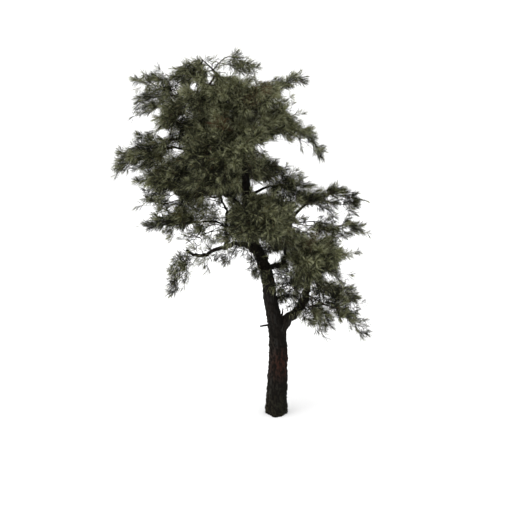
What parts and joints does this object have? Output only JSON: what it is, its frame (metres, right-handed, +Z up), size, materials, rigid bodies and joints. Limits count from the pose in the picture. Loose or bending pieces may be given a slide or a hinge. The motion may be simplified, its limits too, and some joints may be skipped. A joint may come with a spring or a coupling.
{
  "type": "pine tree",
  "caption": "Leaning pine tree with a stout bare trunk, a low side bough and a layered crown of separate needle masses, cut flat at the ground.",
  "frame": {"origin": "middle of the flat cut under the trunk, at ground level", "axes": "+Z up the tree; -Y towards the open side of the crown; the crown leans towards -X and the low bough grows towards +X"},
  "size_m": [4.9087, 3.8, 7.0846],
  "materials": {
    "bark": "rough, plated bark",
    "bough_bark": "rough bark",
    "needles": "matt dark green needles"
  },
  "bodies": {
    "root": {"bough_back_low": "bough_bark", "bough_back_middle": "bough_bark", "bough_back_upper": "bough_bark", "bough_front_low": "bough_bark", "bough_front_middle": "bough_bark", "bough_left_arched": "bough_bark", "bough_left_branch": "bough_bark", "bough_left_low": "bough_bark", "bough_left_middle": "bough_bark", "bough_left_upper": "bough_bark", "bough_left_upright": "bough_bark", "bough_right_back": "bough_bark", "bough_right_high": "bough_bark", "bough_right_low": "bough_bark", "bough_right_middle": "bough_bark", "bough_right_upper": "bough_bark", "dead_stub": "bough_bark", "foliage_back_low": "needles", "foliage_back_middle": "needles", "foliage_back_right": "needles", "foliage_back_right_low": "needles", "foliage_back_upper": "needles", "foliage_crown_back": "needles", "foliage_crown_front_left": "needles", "foliage_crown_front_right": "needles", "foliage_front_low": "needles", "foliage_front_low_right": "needles", "foliage_front_middle": "needles", "foliage_front_upper": "needles", "foliage_inner_back": "needles", "foliage_leader_left": "needles", "foliage_leader_right": "needles", "foliage_left_arm": "needles", "foliage_left_back": "needles", "foliage_left_crown": "needles", "foliage_left_hanging": "needles", "foliage_left_heart": "needles", "foliage_left_inner": "needles", "foliage_left_low": "needles", "foliage_left_low_inner": "needles", "foliage_left_middle": "needles", "foliage_left_shoulder": "needles", "foliage_left_upper": "needles", "foliage_left_upper_low": "needles", "foliage_right_arm": "needles", "foliage_right_back": "needles", "foliage_right_crown": "needles", "foliage_right_front": "needles", "foliage_right_hanging": "needles", "foliage_right_heart": "needles", "foliage_right_inner": "needles", "foliage_right_low": "needles", "foliage_right_low_tip": "needles", "foliage_right_middle": "needles", "foliage_right_middle_back": "needles", "foliage_right_upper": "needles", "foliage_right_upper_tip": "needles", "foliage_trunk_tuft": "needles", "leader_right": "bough_bark", "trunk": "bark"}
  },
  "joints": []
}
